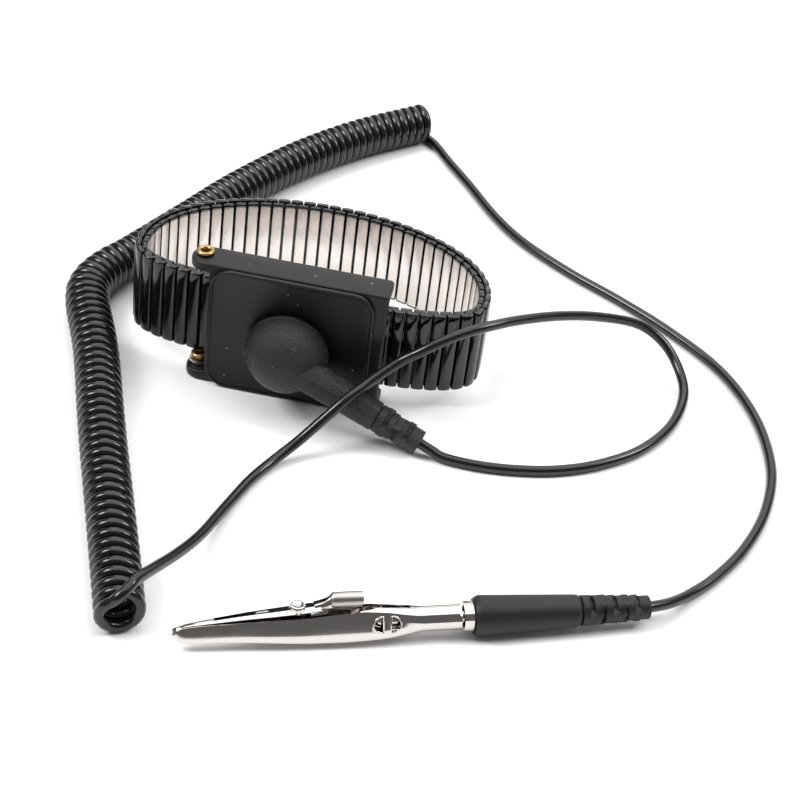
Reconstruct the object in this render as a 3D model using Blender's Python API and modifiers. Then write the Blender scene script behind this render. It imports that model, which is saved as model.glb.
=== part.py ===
"""ESD wrist strap: an expanding metal bracelet with a plastic case, a snap-on coiled
ground cord, a banana plug and an alligator clip.

Row frame, in metres: +X across the case, +Y from the case towards the back of the
bracelet, +Z up. The table is z = 0 and the origin is under the middle of the bracelet
and its snap-on head.
"""

import math

import bmesh
import bpy
from mathutils import Matrix, Vector

MM = 0.001
GAP = 0.3 * MM

# Case
CASE_X = -1.0 * MM
CASE_HALF = 18.5 * MM
CASE_HEIGHT = 28.0 * MM
CASE_FRONT = -13.7 * MM
CASE_BACK = -7.1 * MM
CASE_WALL = 2.0 * MM
CASE_FRONT_WALL = 1.4 * MM
EAR_LEFT = -22.1 * MM
FRONT_LEFT = -17.9 * MM
COVER_HALF = 16.3 * MM
COVER_CORNER = 4.2 * MM
COVER_THICK = 0.8 * MM
COVER_RIM = 0.7 * MM

# Hinge of the steel back plate
HINGE = Vector((-19.7, -9.8, 0.0)) * MM
EYELET_RADIUS = 1.2 * MM
EYELET_BORE = 0.75 * MM
EYELET_HOLE = 1.5 * MM
PLATE_THICK = 0.5 * MM
PLATE_Y = -6.8 * MM

# Bracelet loop, centre line of the links
BAND_BOTTOM = 4.5 * MM
BAND_WIDTH = 18.0 * MM
BAND_THICK = 2.6 * MM
BAND_PAIRS = 26
BAND_GAP = 0.35 * MM
LOOP_HALF = 34.7 * MM
LOOP_BACK = 22.7 * MM
LOOP_FRONT = 9.9 * MM
LOOP_FRONT_Y = -9.2 * MM
LOOP_SQUARENESS = 3.2
BAND_LEFT_END = -17.4 * MM
BAND_RIGHT_END = 15.4 * MM

# Snap and head of the cord
SNAP = Vector((-1.0, 0.0, 12.6)) * MM
HEAD_RADIUS = 8.3 * MM
HEAD_REAR = -15.2 * MM
HEAD_FRONT = -23.4 * MM
NECK_Y = -18.8 * MM
NECK_DIRECTION = Vector((0.935, -0.152, -0.322)).normalized()
NECK_RADIUS = 3.1 * MM
NECK_LENGTH = 21.5 * MM
RELIEF_END = 31.0 * MM

# Cord
WIRE_RADIUS = 1.05 * MM
COIL_RADIUS = 4.6 * MM

# Plug and clip, along one axis lying over the table
PLUG_FRONT = Vector((45.3, -70.1, 3.7)) * MM
PLUG_ANGLE = math.radians(20.5)
HANDLE_LENGTH = 19.3 * MM
PLUG_RELIEF_END = 32.3 * MM
JAW_PIVOT = Vector((-27.5, 0.0, 0.8)) * MM
CLIP_ROLL = math.radians(-20.0)

for old in list(bpy.data.objects):
    bpy.data.objects.remove(old, do_unlink=True)

scene_root = bpy.context.scene.collection
parts = bpy.data.collections.new("esd_wrist_strap")
scene_root.children.link(parts)
helpers = bpy.data.collections.new("cutters")
scene_root.children.link(helpers)


# ---------------------------------------------------------------- helpers


def material(name, colour, roughness, metallic=0.0):
    made = bpy.data.materials.get(name) or bpy.data.materials.new(name)
    made.use_nodes = True
    shader = made.node_tree.nodes["Principled BSDF"]
    shader.inputs["Base Color"].default_value = (*colour, 1.0)
    shader.inputs["Roughness"].default_value = roughness
    shader.inputs["Metallic"].default_value = metallic
    return made


def black_plastic():
    return material("black_plastic", (0.028, 0.028, 0.030), 0.55)


def soft_black():
    return material("soft_black", (0.022, 0.022, 0.023), 0.6)


def gloss_black():
    return material("gloss_black", (0.012, 0.012, 0.013), 0.15)


def cord_black():
    return material("cord_black", (0.015, 0.015, 0.016), 0.35)


def steel():
    return material("steel", (0.72, 0.71, 0.70), 0.3, 1.0)


def nickel():
    return material("nickel", (0.78, 0.76, 0.73), 0.12, 1.0)


def brass():
    return material("brass", (0.72, 0.50, 0.20), 0.25, 1.0)


def resistor_beige():
    return material("resistor_beige", (0.62, 0.50, 0.33), 0.5)


def place(obj, paint, parent=None, helper=False):
    """Files the object with the parts, or with the cutters, which are left out."""
    (helpers if helper else parts).objects.link(obj)
    obj.parent = parent
    if helper:
        obj.hide_render = True
        obj.display_type = "WIRE"
    else:
        obj.data.materials.clear()
        obj.data.materials.append(paint)
    return obj


def empty(name, location, turn=None):
    """A parent on a joint's axis or on an assembly's axis."""
    made = bpy.data.objects.new(name, None)
    made.matrix_world = Matrix.Translation(location) @ (turn or Matrix.Identity(4))
    parts.objects.link(made)
    return made


def axis_turn(direction):
    """Turns local Z onto a direction."""
    return Vector((0, 0, 1)).rotation_difference(direction).to_matrix().to_4x4()


def box(name, low, high, paint=None, parent=None, helper=False, bevel=0.0):
    low, high = Vector(low), Vector(high)
    mesh = bpy.data.meshes.new(name)
    cage = bmesh.new()
    bmesh.ops.create_cube(cage, size=1.0)
    for vert in cage.verts:
        vert.co = Vector(vert.co[i] * (high[i] - low[i]) for i in range(3))
    cage.to_mesh(mesh)
    cage.free()
    obj = bpy.data.objects.new(name, mesh)
    obj.location = (low + high) / 2
    place(obj, paint, parent, helper)
    if bevel:
        rounding = obj.modifiers.new("rounding", "BEVEL")
        rounding.width = bevel
        rounding.segments = 2
    return obj


def smooth(mesh, degrees=35):
    mesh.shade_smooth()
    mesh.set_sharp_from_angle(angle=math.radians(degrees))


def turned(name, profile, paint=None, parent=None, helper=False, steps=32):
    """A solid of revolution about local Z: profile is (radius, height) from top to bottom."""
    mesh = bpy.data.meshes.new(name)
    outline = [(radius, 0.0, height) for radius, height in profile]
    edges = [(i, i + 1) for i in range(len(outline) - 1)]
    mesh.from_pydata(outline, edges, [])
    obj = bpy.data.objects.new(name, mesh)
    place(obj, paint, parent, helper)
    screw = obj.modifiers.new("turn", "SCREW")
    screw.axis = "Z"
    screw.steps = steps
    screw.render_steps = steps
    screw.use_merge_vertices = True
    screw.merge_threshold = 0.00001
    screw.use_smooth_shade = False
    return obj


def ring(name, inner, outer, bottom, top, paint=None, parent=None, steps=32):
    """A turned ring: its profile is a closed rectangle, so it has a true bore."""
    mesh = bpy.data.meshes.new(name)
    outline = [(inner, 0, top), (outer, 0, top), (outer, 0, bottom), (inner, 0, bottom)]
    mesh.from_pydata(outline, [(0, 1), (1, 2), (2, 3), (3, 0)], [])
    obj = bpy.data.objects.new(name, mesh)
    place(obj, paint, parent)
    screw = obj.modifiers.new("turn", "SCREW")
    screw.steps = steps
    screw.render_steps = steps
    screw.use_merge_vertices = True
    screw.merge_threshold = 0.00001
    screw.use_smooth_shade = False
    return obj


def closed_turn(name, outline, paint=None, parent=None, steps=32):
    """A turned body with a bore: outline is a closed loop of (radius, height), outer side first."""
    mesh = bpy.data.meshes.new(name)
    points = [(radius, 0, height) for radius, height in outline]
    count = len(points)
    mesh.from_pydata(points, [(i, (i + 1) % count) for i in range(count)], [])
    obj = bpy.data.objects.new(name, mesh)
    place(obj, paint, parent)
    screw = obj.modifiers.new("turn", "SCREW")
    screw.steps = steps
    screw.render_steps = steps
    screw.use_merge_vertices = True
    screw.merge_threshold = 0.00001
    screw.use_smooth_shade = False
    return obj


def outline_solid(name, outline, bottom, top, paint=None, parent=None, helper=False):
    """A flat outline in XY, drawn out from bottom to top."""
    curve = bpy.data.curves.new(name, "CURVE")
    curve.dimensions = "2D"
    curve.fill_mode = "BOTH"
    curve.extrude = (top - bottom) / 2
    spline = curve.splines.new("POLY")
    spline.points.add(len(outline) - 1)
    for point, (x, y) in zip(spline.points, outline):
        point.co = (x, y, 0, 1)
    spline.use_cyclic_u = True
    drawn = bpy.data.objects.new(name + "_outline", curve)
    drawn.location.z = (top + bottom) / 2
    helpers.objects.link(drawn)
    obj = mesh_from(drawn, name)
    return place(obj, paint, parent, helper)


def mesh_from(drawn, name):
    """The drawn curve as a welded mesh object in the same place."""
    bpy.context.view_layer.update()
    graph = bpy.context.evaluated_depsgraph_get()
    mesh = bpy.data.meshes.new_from_object(drawn.evaluated_get(graph))
    welded = bmesh.new()
    welded.from_mesh(mesh)
    bmesh.ops.remove_doubles(welded, verts=welded.verts, dist=0.000001)
    bmesh.ops.recalc_face_normals(welded, faces=welded.faces)
    welded.to_mesh(mesh)
    welded.free()
    mesh.name = name
    obj = bpy.data.objects.new(name, mesh)
    obj.matrix_world = drawn.matrix_world.copy()
    bpy.data.objects.remove(drawn, do_unlink=True)
    return obj


def arc(centre, radius, start, end, steps=6):
    """Points on an arc in a plane, angles in degrees."""
    made = []
    for i in range(steps + 1):
        angle = math.radians(start + (end - start) * i / steps)
        made.append((centre[0] + radius * math.cos(angle), centre[1] + radius * math.sin(angle)))
    return made


def rounded_rectangle(low, high, left_radius, right_radius):
    """Counterclockwise outline with one radius on its left corners and one on its right."""
    (x0, y0), (x1, y1) = low, high
    outline = arc((x1 - right_radius, y0 + right_radius), right_radius, -90, 0)
    outline += arc((x1 - right_radius, y1 - right_radius), right_radius, 0, 90)
    outline += arc((x0 + left_radius, y1 - left_radius), left_radius, 90, 180)
    outline += arc((x0 + left_radius, y0 + left_radius), left_radius, 180, 270)
    return outline


def boolean(target, tool, operation="DIFFERENCE"):
    step = target.modifiers.new(tool.name, "BOOLEAN")
    step.operation = operation
    step.object = tool
    step.solver = "EXACT"
    return target


def rod(name, radius, start, end, paint=None, parent=None, helper=False, steps=24):
    """A plain cylinder between two points."""
    start, end = Vector(start), Vector(end)
    length = (end - start).length
    obj = turned(name, [(0, length), (radius, length), (radius, 0), (0, 0)],
                 paint, parent, helper, steps)
    obj.matrix_local = Matrix.Translation(start) @ axis_turn((end - start).normalized())
    return obj


def smooth_route(points, spacing):
    """Evenly spaced points on a smooth curve through the route's own points."""
    route = [Vector(point) * MM for point in points]
    route = [2 * route[0] - route[1], *route, 2 * route[-1] - route[-2]]
    fine = []
    for before, start, end, after in zip(route, route[1:], route[2:], route[3:]):
        for i in range(24):
            t = i / 24
            bend = (2 * start) + (end - before) * t
            bend += (2 * before - 5 * start + 4 * end - after) * t**2
            bend += (3 * start - before - 3 * end + after) * t**3
            fine.append(bend / 2)
    fine.append(route[-2])
    travelled = [0.0]
    for start, end in zip(fine, fine[1:]):
        travelled.append(travelled[-1] + (end - start).length)
    count = max(2, round(travelled[-1] / spacing))
    even, j = [], 0
    for i in range(count + 1):
        wanted = travelled[-1] * i / count
        while j < len(fine) - 2 and travelled[j + 1] < wanted:
            j += 1
        share = (wanted - travelled[j]) / (travelled[j + 1] - travelled[j])
        even.append(fine[j].lerp(fine[j + 1], share))
    return even


def tube(name, route, radius, paint, resolution=2):
    """A round bar along the route, with flat caps."""
    curve = bpy.data.curves.new(name, "CURVE")
    curve.dimensions = "3D"
    curve.bevel_depth = radius
    curve.bevel_resolution = resolution
    curve.use_fill_caps = True
    spline = curve.splines.new("POLY")
    spline.points.add(len(route) - 1)
    for point, place_at in zip(spline.points, route):
        point.co = (*place_at, 1)
    obj = bpy.data.objects.new(name, curve)
    return place(obj, paint)


# ---------------------------------------------------------------- case


def make_case():
    """One moulding: front wall, roof, floor, and an ear at the left of roof and floor."""
    outline = rounded_rectangle(
        (EAR_LEFT, CASE_FRONT), (CASE_X + CASE_HALF, CASE_BACK), 3.2 * MM, 0.8 * MM)
    case = outline_solid("case", outline, 0.0, CASE_HEIGHT, black_plastic())
    inside = box("case_inside", (-40 * MM, CASE_FRONT + CASE_FRONT_WALL, CASE_WALL),
                 (40 * MM, 0.0, CASE_HEIGHT - CASE_WALL), helper=True)
    boolean(case, inside)
    left_mouth = box("case_left_mouth", (-40 * MM, -20 * MM, CASE_WALL),
                     (FRONT_LEFT, 0.0, CASE_HEIGHT - CASE_WALL), helper=True)
    boolean(case, left_mouth)
    pin_hole = rod("case_pin_hole", EYELET_HOLE, HINGE - Vector((0, 0, MM)),
                   HINGE + Vector((0, 0, 40 * MM)), helper=True)
    boolean(case, pin_hole)
    stud_hole = rod("case_stud_hole", 1.6 * MM, SNAP + Vector((0, -20 * MM, 0)),
                    SNAP, helper=True)
    boolean(case, stud_hole)
    edges = case.modifiers.new("edges", "BEVEL")
    edges.width = 0.25 * MM
    edges.segments = 1
    edges.limit_method = "ANGLE"
    edges.angle_limit = math.radians(50)
    return stud_hole


def make_cover(stud_hole):
    """Raised front cover: a rounded plate whose rim stands a little proud of its field."""
    low = (-COVER_HALF, 0.2 * MM)
    high = (COVER_HALF, CASE_HEIGHT - 0.2 * MM)
    turn = Matrix.Rotation(math.radians(90), 4, "X")
    rear = CASE_FRONT - GAP
    frame = empty("cover_frame", (CASE_X - 0.15 * MM, rear, 0), turn)
    plate = outline_solid("front_cover",
                          rounded_rectangle(low, high, COVER_CORNER, COVER_CORNER),
                          0.0, COVER_THICK, black_plastic(), frame)
    inner_low = (low[0] + COVER_RIM, low[1] + COVER_RIM)
    inner_high = (high[0] - COVER_RIM, high[1] - COVER_RIM)
    inner = COVER_CORNER - COVER_RIM
    field = outline_solid("cover_field", rounded_rectangle(inner_low, inner_high, inner, inner),
                          0.5 * MM, 3 * MM, None, frame, helper=True)
    boolean(plate, field)
    boolean(plate, stud_hole)


def make_eyelets():
    """Two brass eyelets on the hinge axis, through the ears of roof and floor."""
    top = CASE_HEIGHT
    lip = [(EYELET_BORE, top + 0.55 * MM), (1.1 * MM, top + 0.85 * MM),
           (1.55 * MM, top + 0.85 * MM), (1.85 * MM, top + 0.5 * MM), (1.75 * MM, top + 0.1 * MM),
           (EYELET_RADIUS, top + 0.1 * MM), (EYELET_RADIUS, top - 3.6 * MM),
           (EYELET_BORE, top - 3.6 * MM)]
    closed_turn("eyelet_top", lip, brass()).location = HINGE
    rim = [(EYELET_BORE, 4.1 * MM), (1.1 * MM, 4.25 * MM), (1.7 * MM, 4.1 * MM),
           (1.75 * MM, 3.6 * MM), (EYELET_RADIUS, 3.3 * MM), (EYELET_RADIUS, 0.3 * MM),
           (EYELET_BORE, 0.3 * MM)]
    closed_turn("eyelet_bottom", rim, brass()).location = HINGE


def make_back_plate():
    """Stainless plate that rests on the skin, folded at top and bottom into hinge ears."""
    frame = empty("back_plate_frame", HINGE)
    left, right = 4.4 * MM, 36.0 * MM
    front = PLATE_Y - HINGE.y
    back = front + PLATE_THICK
    low, high = CASE_WALL + GAP, CASE_HEIGHT - CASE_WALL - GAP
    plate = box("back_plate", (left, front, low), (right, back, high), steel(), frame)
    for name, bottom in (("lower_ear", low), ("upper_ear", high - PLATE_THICK)):
        outline = arc((0, 0), 2.0 * MM, 140, 300, 10)
        outline += [(left + 3 * MM, -1.0 * MM), (left + 6 * MM, back - 0.2 * MM)]
        outline += [(left + 0.2 * MM, back - 0.1 * MM)]
        ear = outline_solid(name, outline, bottom, bottom + PLATE_THICK, None, frame, helper=True)
        boolean(plate, ear, "UNION")
    hole = rod("plate_pin_hole", EYELET_HOLE, (0, 0, -MM), (0, 0, 40 * MM), None, frame, True)
    boolean(plate, hole)


# ---------------------------------------------------------------- bracelet


def loop_point(angle, half, back, front, front_y):
    """The closed loop: an ellipse at the back, a squarer curve at the front."""
    side, depth = math.cos(angle), math.sin(angle)
    centre = front_y + front
    if depth >= 0:
        return Vector((half * side, centre + back * depth, 0))
    power = 2 / LOOP_SQUARENESS
    x = half * math.copysign(abs(side) ** power, side)
    return Vector((x, centre - front * abs(depth) ** power, 0))


def band_line(half, back, front):
    """The links' centre line, from the case's left end round the back to its right end."""
    line = []
    for i in range(2400):
        angle = -math.pi / 2 - 2 * math.pi * i / 2400
        line.append(loop_point(angle, half, back, front, LOOP_FRONT_Y))
    start = next(i for i, p in enumerate(line) if p.x <= BAND_LEFT_END)
    end = next(i for i, p in enumerate(line) if i > 1200 and 0 < p.x <= BAND_RIGHT_END
               and p.y < LOOP_FRONT_Y + 2 * MM)
    return line[start:end + 1]


def along(line):
    """A function from the share of the line's length to its point and direction."""
    travelled = [0.0]
    for start, end in zip(line, line[1:]):
        travelled.append(travelled[-1] + (end - start).length)

    def at(share):
        wanted = min(max(share, 0.0), 1.0) * travelled[-1]
        j = next(i for i in range(1, len(line)) if travelled[i] >= wanted or i == len(line) - 1)
        step = line[j] - line[j - 1]
        part = (wanted - travelled[j - 1]) / max(step.length, 1e-9)
        return line[j - 1] + step * part, step.normalized()

    return at, travelled[-1]


def make_band():
    """Pairs of links, each a wedge cut square to the loop, so that neighbours stay clear."""
    at, length = along(band_line(LOOP_HALF, LOOP_BACK, LOOP_FRONT))
    half_gap = BAND_GAP / 2 / length
    for pair in range(BAND_PAIRS):
        start = pair / BAND_PAIRS + half_gap
        end = (pair + 1) / BAND_PAIRS - half_gap
        outer, inner = [], []
        for i in range(4):
            point, along_loop = at(start + (end - start) * i / 3)
            outward = Vector((-along_loop.y, along_loop.x, 0))
            outer.append(point + outward * BAND_THICK / 2)
            inner.append(point - outward * BAND_THICK / 2)
        outline = [(p.x, p.y) for p in outer + inner[::-1]]
        outline_solid(f"link_pair_{pair + 1:02d}", outline, BAND_BOTTOM,
                      BAND_BOTTOM + BAND_WIDTH, gloss_black())


def make_anchors():
    """Steel tongues in the case that the two end links hook on."""
    low, high = BAND_BOTTOM + 0.5 * MM, BAND_BOTTOM + BAND_WIDTH - 0.5 * MM
    front, back = LOOP_FRONT_Y - 0.6 * MM, LOOP_FRONT_Y + 0.6 * MM
    left = BAND_LEFT_END + 0.6 * MM
    right = BAND_RIGHT_END - 0.6 * MM
    box("band_anchor_left", (left, front, low), (left + 4.5 * MM, back, high), steel(),
        bevel=0.15 * MM)
    box("band_anchor_right", (right - 4.5 * MM, front, low), (right, back, high), steel(),
        bevel=0.15 * MM)


# ---------------------------------------------------------------- snap and head


def make_snap():
    """Male stud on the cover, its washer inside the case, female socket and wire ring."""
    towards_front = axis_turn(Vector((0, -1, 0)))
    seat = -(CASE_FRONT - GAP - 0.5 * MM)
    stud_frame = empty("stud_frame", SNAP, towards_front)
    flange = seat + GAP
    profile = [(0, flange + 3.5 * MM), (1.3 * MM, flange + 3.3 * MM), (1.95 * MM, flange + 2.6 * MM),
               (1.95 * MM, flange + 2.0 * MM), (1.5 * MM, flange + 1.3 * MM),
               (1.6 * MM, flange + 0.3 * MM), (4.6 * MM, flange + 0.3 * MM), (4.6 * MM, flange),
               (1.2 * MM, flange), (1.2 * MM, flange - 3.4 * MM), (0, flange - 3.4 * MM)]
    turned("snap_stud", profile, nickel(), stud_frame)
    inner_face = -(CASE_FRONT + CASE_FRONT_WALL) - GAP
    ring("stud_washer", 1.5 * MM, 4.0 * MM, inner_face - 0.4 * MM, inner_face, steel(), stud_frame)
    rear = -HEAD_REAR
    cup = [(5.0 * MM, rear + 0.8 * MM), (3.75 * MM, rear + 0.8 * MM), (3.75 * MM, rear + 4.2 * MM),
           (0, rear + 4.2 * MM)]
    cup = cup[::-1]
    inside = [(5.0 * MM, rear + 0.4 * MM), (3.3 * MM, rear + 0.4 * MM), (3.3 * MM, rear + 3.8 * MM),
              (0, rear + 3.8 * MM)]
    turned("snap_socket", cup + inside, steel(), stud_frame)
    wire = [(2.65 * MM + 0.35 * MM * math.cos(a), rear + 1.1 * MM + 0.35 * MM * math.sin(a))
            for a in (math.radians(90 - 60 * i) for i in range(6))]
    closed_turn("snap_ring", wire, steel(), stud_frame)


def make_head():
    """Soft moulding over the socket: a domed button with a neck that carries the resistor."""
    towards_front = axis_turn(Vector((0, -1, 0)))
    head_frame = empty("head_frame", SNAP, towards_front)
    rear, front = -HEAD_REAR, -HEAD_FRONT
    shoulder = rear + 2.6 * MM
    height = front - shoulder
    dome = [(0, front)]
    for i in range(1, 9):
        angle = math.radians(90 - 90 * i / 8)
        dome.append((HEAD_RADIUS * math.cos(angle) ** 0.9, shoulder + height * math.sin(angle)))
    dome += [(HEAD_RADIUS, rear + 0.4 * MM), (HEAD_RADIUS - 0.4 * MM, rear), (0, rear)]
    head = turned("head_moulding", dome, soft_black(), head_frame, steps=40)
    start = Vector((SNAP.x, NECK_Y, SNAP.z))
    neck_frame = empty("neck_frame", start, axis_turn(NECK_DIRECTION))
    neck = turned("neck", [(0, NECK_LENGTH), (NECK_RADIUS - 0.4 * MM, NECK_LENGTH),
                           (NECK_RADIUS, NECK_LENGTH - 0.4 * MM), (NECK_RADIUS + 0.1 * MM, 0),
                           (0, 0)], None, neck_frame, helper=True, steps=28)
    boolean(head, neck, "UNION")
    pocket = turned("socket_pocket", [(0, rear + 4.6 * MM), (4.15 * MM, rear + 4.6 * MM),
                                      (4.15 * MM, rear + 1.2 * MM), (5.4 * MM, rear + 1.2 * MM),
                                      (5.4 * MM, rear - MM), (0, rear - MM)],
                    None, head_frame, helper=True)
    boolean(head, pocket)
    channel = turned("resistor_channel", [(0, 18 * MM), (1.6 * MM, 18 * MM),
                                          (1.6 * MM, 2 * MM), (0, 2 * MM)],
                     None, neck_frame, helper=True, steps=20)
    boolean(head, channel)
    body = [(0, 15 * MM), (0.3 * MM, 15 * MM), (0.3 * MM, 13.2 * MM), (1.05 * MM, 13 * MM),
            (1.15 * MM, 12 * MM), (0.95 * MM, 11 * MM), (0.95 * MM, 8.6 * MM), (1.15 * MM, 7.6 * MM),
            (1.05 * MM, 6.6 * MM), (0.3 * MM, 6.4 * MM), (0.3 * MM, 5 * MM), (0, 5 * MM)]
    turned("resistor", body, resistor_beige(), neck_frame, steps=16)
    ribs = ribbed_profile(NECK_LENGTH + GAP, RELIEF_END, 2.85 * MM, 2.1 * MM, 1.8 * MM, 4)
    turned("head_relief", ribs, soft_black(), neck_frame, steps=24)


def ribbed_profile(start, end, first, last, waist, ribs):
    """Profile of a strain relief, from its cord end back to its root: ribs of falling size."""
    profile = [(0, end), (last - 0.25 * MM, end)]
    pitch = (end - start) / ribs
    for i in reversed(range(ribs)):
        radius = first + (last - first) * i / (ribs - 1)
        near = start + pitch * i
        profile += [(radius, near + pitch * 0.92), (radius, near + pitch * 0.38)]
        if i:
            profile += [(waist, near + pitch * 0.3), (waist, near + pitch * 0.02)]
    return profile + [(first, start), (0, start)]


# ---------------------------------------------------------------- cord


HEAD_LEAD_ROUTE = [
    (28.3, -23.6, 2.5), (30.6, -24.0, 1.7), (33.4, -24.8, 1.15), (40.4, -25.0, 1.1),
    (48.1, -23.9, 1.1), (55.7, -21.5, 1.1), (63.2, -17.2, 1.1), (70.6, -10.3, 1.1),
    (75.9, -0.8, 1.1), (77.9, 9.0, 1.5), (76.6, 15.6, 3.0), (72.5, 20.3, 6.2),
    (66.3, 20.0, 10.2), (57.9, 13.7, 14.5), (50.0, 6.2, 18.0), (42.4, -1.6, 20.5),
    (37.0, -7.4, 21.7), (32.6, -11.0, 21.5), (28.3, -13.8, 20.1), (24.8, -15.4, 18.1),
    (21.2, -16.4, 15.6), (16.7, -20.3, 12.9), (14.2, -23.4, 11.6), (11.8, -25.9, 9.8),
    (5.6, -31.2, 3.8), (1.7, -36.0, 1.5), (-1.3, -42.5, 1.1), (-3.8, -52.0, 1.5), (-5.9, -62.6, 3.0),
    (-8.2, -71.8, 5.5), (-10.4, -79.6, 7.8),
]

COIL_ROUTE = [
    (-13.6, -87.5, 4.6), (-22.2, -64.0, 4.6), (-30.8, -40.7, 4.6), (-39.3, -16.6, 4.6),
    (-45.6, -1.5, 4.6), (-47.0, 5.0, 4.6), (-45.4, 11.6, 4.6), (-41.8, 18.4, 4.6),
    (-34.2, 35.0, 4.6), (-26.5, 52.1, 4.6), (-16.5, 69.7, 4.6), (-5.1, 84.6, 4.6),
    (8.0, 97.4, 4.6),
]

PLUG_LEAD_ROUTE = [
    (9.3, 98.1, 1.1), (13.5, 91.9, 1.1), (16.8, 86.7, 1.1), (23.0, 77.9, 1.1),
    (30.6, 66.5, 1.1), (38.5, 57.6, 1.1), (50.0, 48.8, 1.1), (61.9, 41.4, 1.1),
    (73.6, 33.0, 1.1), (85.0, 22.1, 1.1), (92.9, 8.1, 1.1), (96.7, -7.5, 1.1),
    (96.1, -21.5, 1.1), (92.6, -34.0, 1.1), (87.6, -43.9, 1.1), (83.0, -50.6, 1.5),
    (79.4, -55.4, 2.7), (75.85, -58.65, 3.7),
]


def cut_route(route, first, last, trim_first, trim_last):
    """A stretch of an evenly spaced route, with its end points drawn back by a trim."""
    stretch = [point.copy() for point in route[first:last + 1]]
    stretch[0] += (stretch[1] - stretch[0]).normalized() * trim_first
    stretch[-1] += (stretch[-2] - stretch[-1]).normalized() * trim_last
    return stretch


def corner_trim(route, i):
    """How far a fat tube stops short of a corner, so that its square end clears the next."""
    turn = (route[i] - route[i - 1]).angle(route[i + 1] - route[i])
    return GAP / 2 + COIL_RADIUS * math.tan(turn / 2)


def make_cord():
    """Straight leads as thin tubes; the curly stretch as a fat tube in six bodies."""
    tube("head_lead", smooth_route(HEAD_LEAD_ROUTE, 4.6 * MM), WIRE_RADIUS, cord_black())
    tube("plug_lead", smooth_route(PLUG_LEAD_ROUTE, 4.6 * MM), WIRE_RADIUS, cord_black())
    coil = smooth_route(COIL_ROUTE, 8.0 * MM)
    last = len(coil) - 1
    stretches = (("coil_near", 0, 9), ("coil_bend_1", 9, 11), ("coil_bend_2", 11, 13),
                 ("coil_bend_3", 13, 15), ("coil_far_1", 15, 21), ("coil_far_2", 21, last))
    for name, start, end in stretches:
        trim_start = corner_trim(coil, start) if start else 0
        trim_end = corner_trim(coil, end) if end < last else 0
        tube(name, cut_route(coil, start, end, trim_start, trim_end), COIL_RADIUS,
             cord_black(), 4)


# ---------------------------------------------------------------- plug and clip


def plug_frame():
    """Local +X runs from the plug's front face to its cord; the clip is on the -X side."""
    return empty("plug_frame", PLUG_FRONT, Matrix.Rotation(PLUG_ANGLE, 4, "Z"))


def turned_on_x(name, profile, paint, frame, helper=False, steps=28):
    """A turned piece whose profile runs along the frame's X axis, far end first."""
    obj = turned(name, profile, paint, frame, helper, steps)
    obj.matrix_local = axis_turn(Vector((1, 0, 0)))
    return obj


def make_plug(frame):
    handle = [(0, HANDLE_LENGTH), (2.6 * MM, HANDLE_LENGTH), (2.9 * MM, HANDLE_LENGTH - 0.5 * MM),
              (3.65 * MM, 1.2 * MM), (3.1 * MM, 0.0), (0, 0.0)]
    turned_on_x("plug_handle", handle, soft_black(), frame, steps=36)
    ribs = ribbed_profile(HANDLE_LENGTH + GAP, PLUG_RELIEF_END, 2.75 * MM, 2.1 * MM, 1.7 * MM, 6)
    turned_on_x("plug_relief", ribs, soft_black(), frame, steps=24)
    pin = [(0, -GAP), (2.75 * MM, -GAP), (2.75 * MM, -2.0 * MM), (1.2 * MM, -2.0 * MM),
           (1.2 * MM, -16.7 * MM), (0.7 * MM, -18.2 * MM), (0, -18.2 * MM)]
    turned_on_x("banana_pin", pin, nickel(), frame)
    cage = [(1.5 * MM, -3.4 * MM), (1.65 * MM, -6.0 * MM), (1.65 * MM, -8.6 * MM),
            (1.5 * MM, -11.2 * MM), (1.35 * MM, -11.2 * MM), (1.35 * MM, -3.4 * MM)]
    obj = closed_turn("pin_cage", cage, brass(), frame, steps=20)
    obj.matrix_local = axis_turn(Vector((1, 0, 0)))


def section(low, high, half, corner):
    """A rounded rectangle across the clip: (y, z) points, twenty of them."""
    corner = min(corner, half - 0.01, (high - low) / 2 - 0.01)
    made = []
    for y, z, start in ((half - corner, low + corner, -90), (half - corner, high - corner, 0),
                        (corner - half, high - corner, 90), (corner - half, low + corner, 180)):
        made += arc((y, z), corner, start, start + 90, 4)
    return made


def loft(name, stations, paint, frame, helper=False):
    """Skin over sections along X; a station is x, low and high z, half width and corner."""
    mesh = bpy.data.meshes.new(name)
    skin = bmesh.new()
    rings = []
    for x, low, high, half, corner in stations:
        points = section(low, high, half, corner)
        rings.append([skin.verts.new((x * MM, y * MM, z * MM)) for y, z in points])
    skin.faces.new(rings[0])
    skin.faces.new(rings[-1][::-1])
    for one, two in zip(rings, rings[1:]):
        for i in range(len(one)):
            j = (i + 1) % len(one)
            skin.faces.new((one[i], two[i], two[j], one[j]))
    bmesh.ops.recalc_face_normals(skin, faces=skin.faces)
    skin.to_mesh(mesh)
    skin.free()
    return place(bpy.data.objects.new(name, mesh), paint, frame, helper)


def clip_frame(frame):
    """The clip sits on the plug's pin a little rolled, with its mouth turned to the back."""
    obj = empty("clip_frame", Vector((0, 0, 0)), Matrix.Rotation(CLIP_ROLL, 4, "X"))
    obj.parent = frame
    return obj


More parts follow.
